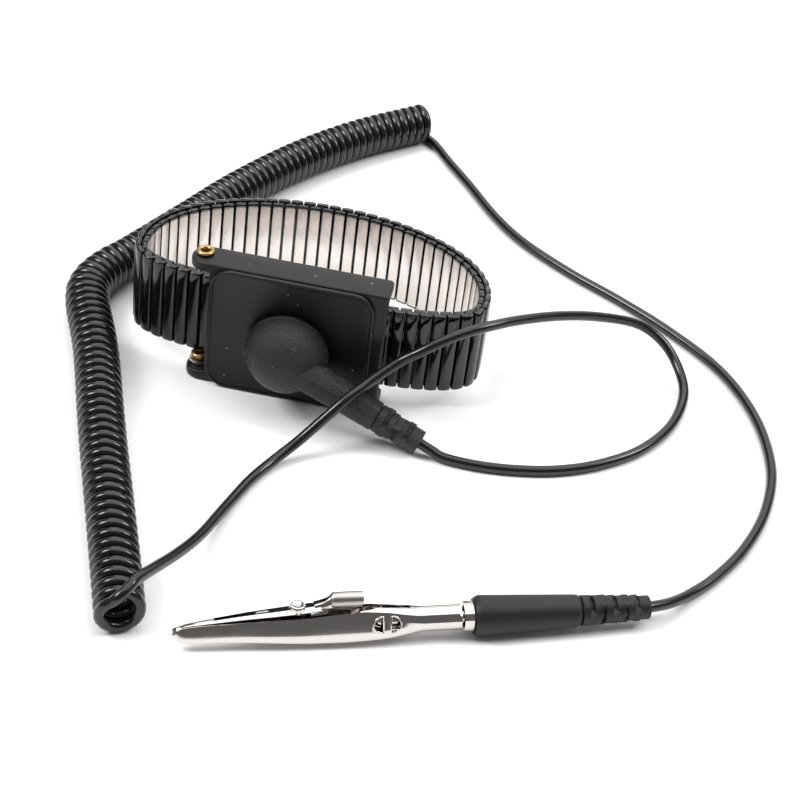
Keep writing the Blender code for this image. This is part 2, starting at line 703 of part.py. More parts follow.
def make_clip(frame):
    """Barrel and lower jaw in one folded sheet; a sprung upper jaw with its thumb roll."""
    outside = [(-2.4, -2.32, 2.32, 2.32, 2.32), (-9.5, -2.32, 2.32, 2.32, 2.32),
               (-12.5, -2.75, 2.45, 2.3, 1.8), (-15.7, -3.0, 2.7, 2.25, 1.3),
               (-21.7, -3.35, 2.9, 2.1, 1.2), (-30.0, -3.3, 2.25, 1.9, 1.1),
               (-36.0, -2.95, 1.9, 1.7, 1.0), (-40.0, -2.7, 1.65, 1.4, 0.9),
               (-48.0, -2.45, 1.0, 1.0, 0.6), (-50.8, -2.3, 0.7, 0.8, 0.5),
               (-52.8, -1.2, -0.2, 0.3, 0.15)]
    inside = [(0.0, -1.95, 1.95, 1.95, 1.95), (-9.6, -1.95, 1.95, 1.95, 1.95),
              (-12.6, -2.35, 2.05, 1.9, 1.4), (-15.8, -2.6, 2.3, 1.85, 0.9),
              (-21.7, -2.95, 2.4, 1.7, 0.8), (-30.0, -2.9, 1.8, 1.5, 0.7),
              (-36.0, -2.55, 1.5, 1.3, 0.6), (-40.0, -2.3, 1.25, 1.0, 0.5),
              (-48.0, -2.05, 0.6, 0.6, 0.3), (-51.0, -1.6, 0.3, 0.4, 0.2)]
    slot = [(-16.4, 0.0, 5.0, 0.6, 0.1), (-18.6, 0.0, 5.0, 1.6, 0.1), (-21.7, 0.0, 5.0, 1.7, 0.1),
            (-30.0, 0.0, 5.0, 1.5, 0.1), (-36.0, 0.0, 5.0, 1.3, 0.1), (-40.0, 0.0, 5.0, 1.0, 0.1),
            (-48.0, 0.0, 5.0, 0.6, 0.1), (-51.0, 0.0, 5.0, 0.4, 0.1)]
    body = loft("clip_body", outside, nickel(), frame)
    boolean(body, loft("clip_inside", inside, None, frame, helper=True))
    boolean(body, loft("clip_slot", slot, None, frame, helper=True))
    pin_from = Vector((JAW_PIVOT.x, -6 * MM, JAW_PIVOT.z))
    pin_to = Vector((JAW_PIVOT.x, 6 * MM, JAW_PIVOT.z))
    boolean(body, rod("wall_holes", 0.75 * MM, pin_from, pin_to, None, frame, True, 16))

    jaw_frame = empty("jaw_frame", JAW_PIVOT)
    jaw_frame.parent = frame
    cover = [(-52.8, 0.25, 0.75, 0.35, 0.2), (-48.0, 1.3, 1.95, 1.0, 0.3),
             (-44.0, 1.65, 2.5, 1.2, 0.4), (-36.0, 2.2, 3.2, 1.65, 0.45),
             (-30.0, 2.6, 3.75, 1.8, 0.5), (-27.2, 2.85, 4.0, 1.7, 0.5)]
    jaw = loft("clip_jaw", shifted(cover, JAW_PIVOT), nickel(), jaw_frame)
    legs = [(-29.0, -0.5, 3.2, 1.2, 0.3), (-26.0, -0.5, 3.2, 1.2, 0.3)]
    boolean(jaw, loft("jaw_legs", shifted(legs, JAW_PIVOT), None, jaw_frame, True), "UNION")
    neck = [(-28.0, 3.0, 3.8, 1.0, 0.3), (-24.0, 3.4, 5.3, 1.0, 0.3)]
    boolean(jaw, loft("jaw_neck", shifted(neck, JAW_PIVOT), None, jaw_frame, True), "UNION")
    gap = [(-31.0, -3.0, 2.9, 0.8, 0.2), (-25.0, -3.0, 2.9, 0.8, 0.2)]
    boolean(jaw, loft("jaw_hollow", shifted(gap, JAW_PIVOT), None, jaw_frame, True))
    roll = rod("jaw_roll", 1.4 * MM, (2.3 * MM, 0, 3.55 * MM), (7.7 * MM, 0, 3.55 * MM),
               None, jaw_frame, True, 20)
    boolean(jaw, roll, "UNION")
    boolean(jaw, rod("roll_bore", 1.0 * MM, (4.0 * MM, 0, 3.55 * MM), (9 * MM, 0, 3.55 * MM),
                     None, jaw_frame, True, 20))
    boolean(jaw, rod("leg_holes", 0.75 * MM, (0, -6 * MM, 0), (0, 6 * MM, 0), None, jaw_frame,
                     True, 16))


def shifted(stations, pivot):
    """Stations moved from the plug's frame to the jaw's, whose origin is on the pivot."""
    dx, dz = pivot.x / MM, pivot.z / MM
    return [(x - dx, low - dz, high - dz, half, corner) for x, low, high, half, corner in stations]


def make_pivot(frame):
    """A riveted pin across the walls, with the jaw's torsion spring around it."""
    pin = turned("clip_pivot", [(0, 2.55 * MM), (0.9 * MM, 2.55 * MM), (0.9 * MM, 2.28 * MM),
                                (0.5 * MM, 2.28 * MM), (0.5 * MM, -2.28 * MM),
                                (0.9 * MM, -2.28 * MM), (0.9 * MM, -2.55 * MM), (0, -2.55 * MM)],
                 nickel(), frame, steps=16)
    pin.matrix_local = Matrix.Translation(JAW_PIVOT) @ axis_turn(Vector((0, 1, 0)))
    spring = ring("clip_spring", 0.75 * MM, 1.15 * MM, -0.5 * MM, 0.5 * MM, steel(), frame, 18)
    spring.matrix_local = Matrix.Translation(JAW_PIVOT) @ axis_turn(Vector((0, 1, 0)))


case_stud_hole = make_case()
make_cover(case_stud_hole)
make_eyelets()
make_back_plate()
make_band()
make_anchors()
make_snap()
make_head()
make_cord()
plug_axis = plug_frame()
make_plug(plug_axis)
clip_axis = clip_frame(plug_axis)
make_clip(clip_axis)
make_pivot(clip_axis)
for part in parts.objects:
    if part.type == "MESH" and part.data.polygons:
        smooth(part.data)
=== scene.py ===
# %% [markdown]
# # An anti-static wrist strap
# The bracelet is an expanding metal band closed by a small plastic case. A press stud on
# the case holds a soft head, and from the head a thin cord runs through a long coil to a
# plug with a clip on it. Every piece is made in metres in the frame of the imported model,
# so a piece's place is written straight into its mesh.

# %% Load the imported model
import math

import bmesh
import bpy
from mathutils import Matrix, Vector


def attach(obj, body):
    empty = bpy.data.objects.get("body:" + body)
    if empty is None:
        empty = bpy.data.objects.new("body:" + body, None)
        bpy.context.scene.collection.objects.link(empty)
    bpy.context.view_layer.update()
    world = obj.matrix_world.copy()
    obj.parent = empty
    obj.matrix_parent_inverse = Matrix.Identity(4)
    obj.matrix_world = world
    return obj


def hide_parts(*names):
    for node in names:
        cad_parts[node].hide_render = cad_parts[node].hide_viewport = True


MM = 0.001
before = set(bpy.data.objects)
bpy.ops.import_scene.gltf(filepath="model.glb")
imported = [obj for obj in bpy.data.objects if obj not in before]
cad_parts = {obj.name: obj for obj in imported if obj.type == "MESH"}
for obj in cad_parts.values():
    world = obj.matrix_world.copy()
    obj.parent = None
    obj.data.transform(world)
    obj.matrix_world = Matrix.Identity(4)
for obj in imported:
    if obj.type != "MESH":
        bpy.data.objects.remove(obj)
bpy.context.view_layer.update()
scene = bpy.context.scene
print("CAD nodes:", len(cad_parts))

# %% [markdown]
# ## Camera and light
# A long lens a third of a metre away looks down on the strap and leans a little to one
# side. Black lacquer and bright nickel only show what they reflect, so the room is kept
# dim and the light comes from wide soft panels: the panel overhead draws the pale upper
# half of each glossy link, and the white table draws its lower edge.

# %% Camera
CAMERA_PLACE = Vector((52.96, -334.19, 247.24)) * MM
AZIMUTH, PITCH, ROLL = 5.5, 37.0, 7.6
LENS, SENSOR = 91.56, 36.0

camera_data = bpy.data.cameras.new("camera")
camera_data.lens = LENS
camera_data.sensor_width = SENSOR
camera_data.clip_start = 0.01
camera = bpy.data.objects.new("camera", camera_data)
turn = Matrix.Rotation(math.radians(AZIMUTH), 4, "Z")
turn = turn @ Matrix.Rotation(math.radians(90 - PITCH), 4, "X")
turn = turn @ Matrix.Rotation(math.radians(ROLL), 4, "Z")
camera.matrix_world = Matrix.Translation(CAMERA_PLACE) @ turn
scene.collection.objects.link(camera)
scene.camera = camera


# %% Table, room and soft panels
def soft_panel(name, place, aim, size, power):
    """A square soft light that faces a point."""
    data = bpy.data.lights.new(name, "AREA")
    data.size = size
    data.energy = power
    made = bpy.data.objects.new(name, data)
    made.location = place
    made.rotation_euler = (Vector(aim) - Vector(place)).to_track_quat("-Z", "Y").to_euler()
    scene.collection.objects.link(made)


def plain_material(name, colour, roughness, metallic=0.0, shine=0.5):
    """A material with one colour all over, and its shader for what is added later."""
    made = bpy.data.materials.new(name)
    made.use_nodes = True
    shader = made.node_tree.nodes["Principled BSDF"]
    shader.inputs["Base Color"].default_value = (*colour, 1.0)
    shader.inputs["Roughness"].default_value = roughness
    shader.inputs["Metallic"].default_value = metallic
    shader.inputs["Specular IOR Level"].default_value = shine
    return made, shader


TABLE_HALF = 3.0
ROOM_STRENGTH = 0.16

table_mesh = bpy.data.meshes.new("table")
corners = [(-TABLE_HALF, -TABLE_HALF, 0), (TABLE_HALF, -TABLE_HALF, 0),
           (TABLE_HALF, TABLE_HALF, 0), (-TABLE_HALF, TABLE_HALF, 0)]
table_mesh.from_pydata(corners, [], [(0, 1, 2, 3)])
table = bpy.data.objects.new("table", table_mesh)
scene.collection.objects.link(table)
table_mesh.materials.append(plain_material("pale_table", (0.92, 0.92, 0.92), 0.9)[0])

room = bpy.data.worlds.new("room")
room.use_nodes = True
room.node_tree.nodes["Background"].inputs["Color"].default_value = (1.0, 1.0, 1.0, 1.0)
room.node_tree.nodes["Background"].inputs["Strength"].default_value = ROOM_STRENGTH
scene.world = room
soft_panel("overhead", (0.0, 0.25, 0.95), (0.0, 0.05, 0.0), 1.3, 11.5)
soft_panel("left_high", (-0.75, -0.25, 0.85), (0.0, 0.0, 0.0), 0.4, 9.0)
soft_panel("right_high", (0.8, 0.2, 0.8), (0.0, 0.0, 0.0), 0.4, 6.0)
soft_panel("behind", (0.1, 1.3, 0.42), (0.0, 0.0, 0.05), 1.5, 8.0)
scene.view_settings.view_transform = "Standard"
scene.view_settings.exposure = 0.0

# %% [markdown]
# ## Shared effects
# Two node groups serve all the plastics. "fine grain" is the tiny roughness that a spark
# eroded mould leaves: it gives a height for a Bump node and a slow change of tone. "dust"
# gives a mask of sparse pale specks.


# %% Node groups
def shader_group(name, inputs, outputs):
    """An empty shader group with named float inputs and outputs."""
    group = bpy.data.node_groups.new(name, "ShaderNodeTree")
    for label, value in inputs.items():
        socket = group.interface.new_socket(label, in_out="INPUT", socket_type="NodeSocketFloat")
        socket.default_value = value
    for label in outputs:
        group.interface.new_socket(label, in_out="OUTPUT", socket_type="NodeSocketFloat")
    return group, group.nodes.new("NodeGroupInput"), group.nodes.new("NodeGroupOutput")


def grain_group():
    """Fine noise as a height, and slow noise as a tone."""
    group, given, made = shader_group("fine grain", {"Scale": 3000.0, "Depth": 1.0},
                                      ["Height", "Tone"])
    link = group.links.new
    place = group.nodes.new("ShaderNodeTexCoord")
    fine = group.nodes.new("ShaderNodeTexNoise")
    fine.inputs["Detail"].default_value = 3.0
    link(place.outputs["Object"], fine.inputs["Vector"])
    link(given.outputs["Scale"], fine.inputs["Scale"])
    depth = group.nodes.new("ShaderNodeMath")
    depth.operation = "MULTIPLY"
    link(fine.outputs["Fac"], depth.inputs[0])
    link(given.outputs["Depth"], depth.inputs[1])
    link(depth.outputs[0], made.inputs["Height"])
    slow = group.nodes.new("ShaderNodeTexNoise")
    slow.inputs["Scale"].default_value = 180.0
    slow.inputs["Detail"].default_value = 4.0
    link(place.outputs["Object"], slow.inputs["Vector"])
    link(slow.outputs["Fac"], made.inputs["Tone"])
    return group


def dust_group():
    """Small round specks, kept only where a slow noise is high."""
    group, given, made = shader_group("dust", {"Scale": 700.0, "Size": 0.12}, ["Mask"])
    link = group.links.new
    place = group.nodes.new("ShaderNodeTexCoord")
    cells = group.nodes.new("ShaderNodeTexVoronoi")
    link(place.outputs["Object"], cells.inputs["Vector"])
    link(given.outputs["Scale"], cells.inputs["Scale"])
    near = group.nodes.new("ShaderNodeMath")
    near.operation = "LESS_THAN"
    link(cells.outputs["Distance"], near.inputs[0])
    link(given.outputs["Size"], near.inputs[1])
    patches = group.nodes.new("ShaderNodeTexNoise")
    patches.inputs["Scale"].default_value = 260.0
    link(place.outputs["Object"], patches.inputs["Vector"])
    sparse = group.nodes.new("ShaderNodeMath")
    sparse.operation = "GREATER_THAN"
    sparse.inputs[1].default_value = 0.56
    link(patches.outputs["Fac"], sparse.inputs[0])
    both = group.nodes.new("ShaderNodeMath")
    both.operation = "MULTIPLY"
    link(near.outputs[0], both.inputs[0])
    link(sparse.outputs[0], both.inputs[1])
    link(both.outputs[0], made.inputs["Mask"])
    return group


GRAIN = grain_group()
DUST = dust_group()


# %% [markdown]
# ## Finishes
# One function lays a finish out of the shared groups: a base colour that drifts a little
# with the slow tone, optional specks of dust, and the grain as a bump. Numbers that are
# the same all over sit on the shader's own sockets.

# %% Finishes
def finish(name, colour, roughness, metallic=0.0, drift=0.15, rough_drift=0.1,
           grain=0.0, grain_scale=3000.0, depth=0.05, dust=0.0, dust_scale=700.0, shine=0.5,
           uneven=False):
    """One finish; depth is the bump's in mm, and uneven gives each strip its own tone."""
    made, shader = plain_material(name, colour, roughness, metallic, shine)
    nodes, link = made.node_tree.nodes, made.node_tree.links.new
    texture = nodes.new("ShaderNodeGroup")
    texture.node_tree = GRAIN
    texture.inputs["Scale"].default_value = grain_scale
    tone = nodes.new("ShaderNodeMix")
    tone.data_type = "RGBA"
    tone.inputs["A"].default_value = (*[c * (1 - drift) for c in colour], 1.0)
    tone.inputs["B"].default_value = (*[min(1.0, c * (1 + drift)) for c in colour], 1.0)
    link(texture.outputs["Tone"], tone.inputs["Factor"])
    if uneven:
        island = nodes.new("ShaderNodeNewGeometry")
        link(island.outputs["Random Per Island"], tone.inputs["Factor"])
    shade = tone.outputs["Result"]
    if dust:
        specks = nodes.new("ShaderNodeGroup")
        specks.node_tree = DUST
        specks.inputs["Scale"].default_value = dust_scale
        speckled = nodes.new("ShaderNodeMix")
        speckled.data_type = "RGBA"
        speckled.inputs["B"].default_value = (dust, dust, dust, 1.0)
        link(shade, speckled.inputs["A"])
        link(specks.outputs["Mask"], speckled.inputs["Factor"])
        shade = speckled.outputs["Result"]
    link(shade, shader.inputs["Base Color"])
    rough = nodes.new("ShaderNodeMapRange")
    rough.inputs["To Min"].default_value = max(0.02, roughness - rough_drift)
    rough.inputs["To Max"].default_value = min(1.0, roughness + rough_drift)
    link(texture.outputs["Tone"], rough.inputs["Value"])
    link(rough.outputs["Result"], shader.inputs["Roughness"])
    if grain:
        bump = nodes.new("ShaderNodeBump")
        bump.inputs["Strength"].default_value = grain
        bump.inputs["Distance"].default_value = depth * MM
        link(texture.outputs["Height"], bump.inputs["Height"])
        link(bump.outputs["Normal"], shader.inputs["Normal"])
    return made


CASE_BLACK = finish("moulded black", (0.005, 0.005, 0.0055), 0.38, grain=0.25, dust=0.16,
                    dust_scale=520.0, shine=0.3)
HEAD_BLACK = finish("eroded soft black", (0.0055, 0.0055, 0.006), 0.35, grain=1.0,
                    grain_scale=3000.0, depth=0.32, dust=0.2, dust_scale=900.0, shine=0.45)
PLUG_BLACK = finish("plug black", (0.0095, 0.010, 0.011), 0.5, grain=0.35,
                    grain_scale=4200.0, shine=0.35)
LACQUER = finish("black lacquer", (0.004, 0.004, 0.0045), 0.08, rough_drift=0.03, grain=0.02,
                 grain_scale=900.0)
CORD_BLACK = finish("cord jacket", (0.007, 0.0065, 0.006), 0.22, rough_drift=0.06, grain=0.08,
                    grain_scale=1600.0)
STAINLESS = finish("stainless strip", (0.74, 0.69, 0.66), 0.27, metallic=1.0, drift=0.14,
                   grain=0.12, grain_scale=2600.0, uneven=True)
NICKEL = finish("bright nickel", (0.60, 0.565, 0.545), 0.07, metallic=1.0, drift=0.03,
                rough_drift=0.03, grain=0.03, grain_scale=1200.0)
SATIN = finish("brushed nickel", (0.43, 0.41, 0.39), 0.33, metallic=1.0, drift=0.1, grain=0.5,
               grain_scale=2400.0)
BRASS = finish("brass", (0.40, 0.28, 0.12), 0.32, metallic=1.0, drift=0.12, grain=0.1)
RESISTOR = finish("resistor lacquer", (0.62, 0.50, 0.33), 0.4)
print("finishes:", len(bpy.data.materials))


# %% [markdown]
# ## Helpers for shapes
# Pieces are skins over rings of points, turned shapes, or outlines drawn out and cut by
# Booleans. Each helper returns a plain mesh object whose place is in its points, with its
# modifiers already applied.

# %% Shape helpers
def new_piece(name, mesh, paint):
    piece = bpy.data.objects.new(name, mesh)
    scene.collection.objects.link(piece)
    mesh.materials.clear()
    mesh.materials.append(paint)
    return piece


def baked(piece, sharp=35.0):
    """The piece with its modifiers and its placing applied, smooth up to an angle."""
    bpy.context.view_layer.update()
    graph = bpy.context.evaluated_depsgraph_get()
    mesh = bpy.data.meshes.new_from_object(piece.evaluated_get(graph))
    mesh.transform(piece.matrix_world)
    piece.modifiers.clear()
    piece.data = mesh
    piece.matrix_world = Matrix.Identity(4)
    mesh.shade_smooth()
    mesh.set_sharp_from_angle(angle=math.radians(sharp))
    return piece


def skin(name, rings, paint, loop=False):
    """Quads between rings of equal length, with flat ends unless they form a loop."""
    mesh = bpy.data.meshes.new(name)
    made = bmesh.new()
    rows = [[made.verts.new(point) for point in ring] for ring in rings]
    if not loop:
        made.faces.new(rows[0])
        made.faces.new(rows[-1][::-1])
    pairs = list(zip(rows, rows[1:]))
    if loop:
        pairs.append((rows[-1], rows[0]))
    for one, two in pairs:
        for i in range(len(one)):
            j = (i + 1) % len(one)
            made.faces.new((one[i], two[i], two[j], one[j]))
    bmesh.ops.recalc_face_normals(made, faces=made.faces)
    made.to_mesh(mesh)
    made.free()
    return new_piece(name, mesh, paint)


def axis_frame(start, direction):
    """Local Z along a direction, from a starting point."""
    twist = Vector((0, 0, 1)).rotation_difference(Vector(direction).normalized())
    return Matrix.Translation(start) @ twist.to_matrix().to_4x4()


def turned(name, profile, place, paint, sides=64, bore=False):
    """A turned shape about local Z of a placing; profile is (radius, height) in mm."""
    rings = []
    for radius, height in profile:
        ring = []
        for i in range(sides):
            angle = 2 * math.pi * i / sides
            ring.append(place @ (Vector((radius * math.cos(angle), radius * math.sin(angle),
                                         height)) * MM))
        rings.append(ring)
    return skin(name, rings, paint, loop=bore)


def cut(piece, tool, operation="DIFFERENCE"):
    """One exact Boolean, applied at once; the tool is used up."""
    step = piece.modifiers.new("cut", "BOOLEAN")
    step.operation = operation
    step.solver = "EXACT"
    step.object = tool
    baked(piece)
    bpy.data.objects.remove(tool, do_unlink=True)
    return piece


def round_edges(piece, width, segments=3, angle=40.0):
    """A Bevel of a width in mm on the edges that are sharper than the angle."""
    step = piece.modifiers.new("rounding", "BEVEL")
    step.width = width * MM
    step.segments = segments
    step.limit_method = "ANGLE"
    step.angle_limit = math.radians(angle)
    step.harden_normals = False
    return baked(piece)


def block(name, low, high, paint, place=None):
    """A box between two corners in mm, used for cutters and bars."""
    place = place or Matrix.Identity(4)
    (x0, y0, z0), (x1, y1, z1) = low, high
    rings = [[place @ (Vector((x, y, z)) * MM) for x, y in
              ((x0, y0), (x1, y0), (x1, y1), (x0, y1))] for z in (z0, z1)]
    return skin(name, rings, paint)


def corner_arc(x, y, radius, start, steps=8):
    """Points on a quarter circle, in mm."""
    made = []
    for i in range(steps + 1):
        angle = math.radians(start + 90 * i / steps)
        made.append((x + radius * math.cos(angle), y + radius * math.sin(angle)))
    return made


def rounded_box_outline(x0, y0, x1, y1, left, right):
    """A box in mm with one corner radius on its left and another on its right."""
    outline = corner_arc(x1 - right, y0 + right, right, -90)
    outline += corner_arc(x1 - right, y1 - right, right, 0)
    outline += corner_arc(x0 + left, y1 - left, left, 90)
    outline += corner_arc(x0 + left, y0 + left, left, 180)
    return outline


def drawn_out(name, outline, bottom, top, paint, place=None):
    """An outline in mm drawn from bottom to top along local Z."""
    place = place or Matrix.Identity(4)
    rings = [[place @ (Vector((x, y, z)) * MM) for x, y in outline] for z in (bottom, top)]
    return skin(name, rings, paint)


def settle(piece, body, slot, *nodes):
    """The calls that every finished piece needs."""
    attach(piece, body)
    if nodes:
        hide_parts(*nodes)
    return piece


# %% [markdown]
# ## The cord
# The cord is one round thing from the head to the plug, so it is one curve. It leaves the
# head, makes a loop on the table, climbs over the neck of its own head, and drops into a
# long left-handed coil. Past the coil it sweeps round to the plug. Where it isn't coiled, it
# is a smooth curve through a list of points. The coil is wound turn by turn about its own
# centre line at a set pitch, with the turns packed closer beyond the bend.

# %% Cord routes
CORD_WIDTH = 2.1
COIL_MEAN_RADIUS = 3.55

HEAD_ROUTE = [
    (26.9, -23.2, 3.0), (28.3, -23.6, 2.5), (30.6, -24.0, 1.7), (33.4, -24.8, 1.15),
    (40.4, -25.0, 1.1), (48.1, -23.9, 1.1), (55.7, -21.5, 1.1), (63.2, -17.2, 1.1),
    (70.6, -10.3, 1.1), (75.9, -0.8, 1.1), (77.9, 9.0, 1.5), (76.6, 15.6, 3.0),
    (72.5, 20.3, 6.2), (66.3, 20.0, 10.2), (57.9, 13.7, 14.5), (50.0, 6.2, 18.0),
    (42.4, -1.6, 20.5), (37.0, -7.4, 21.7), (32.6, -11.0, 21.5), (28.3, -13.8, 20.1),
    (24.8, -15.4, 18.1), (21.2, -16.4, 15.6), (16.7, -20.3, 12.9), (14.2, -23.4, 11.6),
    (11.8, -25.9, 9.8), (5.6, -31.2, 3.8), (1.7, -36.0, 1.5), (-1.3, -42.5, 1.1),
    (-3.8, -52.0, 1.5), (-5.9, -62.6, 3.0), (-8.2, -71.8, 5.5),
]
COIL_ROUTE = [
    (-13.6, -87.5, 4.6), (-22.2, -64.0, 4.6), (-30.8, -40.7, 4.6), (-39.3, -16.6, 4.6),
    (-45.6, -1.5, 4.6), (-47.0, 5.0, 4.6), (-45.4, 11.6, 4.6), (-41.8, 18.4, 4.6),
    (-34.2, 35.0, 4.6), (-26.5, 52.1, 4.6), (-16.5, 69.7, 4.6), (-5.1, 84.6, 4.6),
    (8.0, 97.4, 4.6),
]
PLUG_ROUTE = [
    (12.0, 93.9, 1.1), (16.8, 86.7, 1.1), (23.0, 77.9, 1.1), (30.6, 66.5, 1.1),
    (38.5, 57.6, 1.1), (50.0, 48.8, 1.1), (61.9, 41.4, 1.1), (73.6, 33.0, 1.1),
    (85.0, 22.1, 1.1), (92.9, 8.1, 1.1), (96.7, -7.5, 1.1), (96.1, -21.5, 1.1),
    (92.6, -34.0, 1.1), (87.6, -43.9, 1.1), (83.0, -50.6, 1.5), (79.4, -55.4, 2.7),
    (75.85, -58.65, 3.7), (75.0, -58.95, 3.7),
]


def smooth_line(points, steps=24):
    """A smooth curve through the points, as many short steps."""
    route = [Vector(point) * MM for point in points]
    route = [2 * route[0] - route[1], *route, 2 * route[-1] - route[-2]]
    fine = []
    for before, start, end, after in zip(route, route[1:], route[2:], route[3:]):
        for i in range(steps):
            t = i / steps
            bend = 2 * start + (end - before) * t
            bend += (2 * before - 5 * start + 4 * end - after) * t**2
            bend += (3 * start - before - 3 * end + after) * t**3
            fine.append(bend / 2)
    fine.append(route[-2])
    return fine


def distances(line):
    """How far along the line each of its points is."""
    travelled = [0.0]
    for start, end in zip(line, line[1:]):
        travelled.append(travelled[-1] + (end - start).length)
    return travelled


def walk(line):
    """A function from distance along the line to the point and direction there."""
    travelled = distances(line)

    def at(distance):
        low, high = 0, len(line) - 2
        while low < high:
            middle = (low + high + 1) // 2
            if travelled[middle] <= distance:
                low = middle
            else:
                high = middle - 1
        step = line[low + 1] - line[low]
        share = (distance - travelled[low]) / step.length
        return line[low] + step * share, step.normalized()

    return at, travelled[-1]


# %% One curve for the whole cord
NEAR_PITCH, FAR_PITCH = 2.5, 2.12
BEND_FROM, BEND_TO = 78.0, 112.0
STEPS_PER_TURN = 24
COIL_START, COIL_START_ANGLE = -0.9, 24.0
COIL_END_TRIM, NEAR_BOTTOM = 0.6, 8

coil_at, coil_length = walk(smooth_line(COIL_ROUTE))


def beside_coil(distance, radius, angle):
    """A point round the coil's centre line: angle 0 is on top, and 90 is on its left."""
    point, along = coil_at(distance * MM)
    right = along.cross(Vector((0, 0, 1))).normalized()
    spin = math.radians(angle)
    return point + (Vector((0, 0, 1)) * math.cos(spin) - right * math.sin(spin)) * radius * MM


def coil_points():
    """The wire wound along the centre line, ending at the bottom of its last turn."""
    made, distance, angle = [], COIL_START, COIL_START_ANGLE
    end = coil_length / MM - COIL_END_TRIM
    while True:
        made.append(beside_coil(distance, COIL_MEAN_RADIUS, angle))
        share = min(1.0, max(0.0, (distance - BEND_FROM) / (BEND_TO - BEND_FROM)))
        pitch = NEAR_PITCH + (FAR_PITCH - NEAR_PITCH) * share
        if distance > end and abs(angle % 360 - 180) < NEAR_BOTTOM:
            return made, angle / 360
        distance += pitch / STEPS_PER_TURN
        angle += 360 / STEPS_PER_TURN


coil, turns = coil_points()
join_in = [beside_coil(2.9, 6.0, -33), beside_coil(0.3, 5.3, -14), beside_coil(-0.9, 4.4, 4)]
lead_in = smooth_line(HEAD_ROUTE + [tuple(p / MM) for p in join_in] + [tuple(coil[0] / MM)], 6)
lead_out = smooth_line([tuple(coil[-1] / MM)] + PLUG_ROUTE, 8)
cord_line = lead_in[:-1] + coil + lead_out[1:]

cord_curve = bpy.data.curves.new("cord", "CURVE")
cord_curve.dimensions = "3D"
cord_curve.bevel_depth = CORD_WIDTH / 2 * MM
cord_curve.bevel_resolution = 3
cord_curve.use_fill_caps = True
spline = cord_curve.splines.new("POLY")
spline.points.add(len(cord_line) - 1)
for point, place in zip(spline.points, cord_line):
    point.co = (*place, 1.0)
cord = bpy.data.objects.new("cord", cord_curve)
scene.collection.objects.link(cord)
cord_curve.materials.append(CORD_BLACK)
settle(cord, "head", "cord_black", "head_lead", "coil_near", "coil_bend_1", "coil_bend_2",
       "coil_bend_3", "coil_far_1", "coil_far_2", "plug_lead")

# %% [markdown]
# ## The expanding band
# Such a band is two rows of small sleeves, one behind the other and half a step apart,
# joined inside by bent springs. The outer sleeves carry pillow shaped black shells and the
# inner ones carry bare steel strips. All of this repeats along one closed line, so one
# Geometry Nodes tree places any of the three shapes at even shares of that line. It runs
# once for each pair of links, because each pair slides on its own when the band stretches.

# %% The line that the links follow
LOOP_HALF, LOOP_BACK, LOOP_FRONT, LOOP_FRONT_Y = 34.7, 22.7, 9.9, -9.2
LOOP_SQUARENESS = 3.2
BAND_LEFT_END, BAND_RIGHT_END = -17.4, 15.4
BAND_MIDDLE_Z = 13.5
PAIRS = 26
LINE_STEPS = 1200


def loop_point(angle):
    """An ellipse at the back and a squarer curve at the front, in mm."""
    side, depth = math.cos(angle), math.sin(angle)
    middle = LOOP_FRONT_Y + LOOP_FRONT
    if depth >= 0:
        return Vector((LOOP_HALF * side, middle + LOOP_BACK * depth, BAND_MIDDLE_Z))
    power = 2 / LOOP_SQUARENESS
    x = LOOP_HALF * math.copysign(abs(side) ** power, side)
    return Vector((x, middle - LOOP_FRONT * abs(depth) ** power, BAND_MIDDLE_Z))


def band_line():
    """The line from the case's left end round the wrist to its right end."""
    line = [loop_point(-math.pi / 2 - 2 * math.pi * i / LINE_STEPS) for i in range(LINE_STEPS)]
    start = next(i for i, p in enumerate(line) if p.x <= BAND_LEFT_END)
    end = next(i for i, p in enumerate(line)
               if i > LINE_STEPS / 2 and 0 < p.x <= BAND_RIGHT_END and p.y < LOOP_FRONT_Y + 2)
    return [p * MM for p in line[start:end + 1]]


line_data = bpy.data.curves.new("band line", "CURVE")
line_data.dimensions = "3D"
line_points = band_line()
line_spline = line_data.splines.new("POLY")
line_spline.points.add(len(line_points) - 1)
for point, place in zip(line_spline.points, line_points):
    point.co = (*place, 1.0)
line_object = bpy.data.objects.new("band_line", line_data)
scene.collection.objects.link(line_object)
print("band line:", round(distances(line_points)[-1] / MM, 1), "mm")


# %% [markdown]
# The three shapes are each a small skin with few faces: local X runs along the band, Y
# points away from the wrist and Z runs across the band. The shell's face swells in both
# directions, which is what bends the reflection of the light into a pointed patch.

# %% One shell, one sleeve, one strip
def shell_shape():
    """A pillow: its face falls away towards both sides and both ends."""
    half, height = 1.26, 9.0
    rings = []
    for z, drop in ((-1.0, 0.42), (-0.992, 0.22), (-0.96, 0.1), (-0.75, 0.05), (-0.4, 0.01),
                    (0.0, 0.0), (0.4, 0.01), (0.75, 0.05), (0.96, 0.1), (0.992, 0.22),
                    (1.0, 0.42)):
        ring = []
        for x, fall in ((-1.0, 0.62), (-0.94, 0.30), (-0.7, 0.12), (-0.35, 0.03), (0.0, 0.0),
                        (0.35, 0.03), (0.7, 0.12), (0.94, 0.30), (1.0, 0.62)):
            ring.append(Vector((x * half, 1.42 - fall - drop, z * height)) * MM)
        ring.append(Vector((half, 0.12, z * height)) * MM)
        ring.append(Vector((-half, 0.12, z * height)) * MM)
        rings.append(ring)
    return skin("shell", rings, LACQUER)


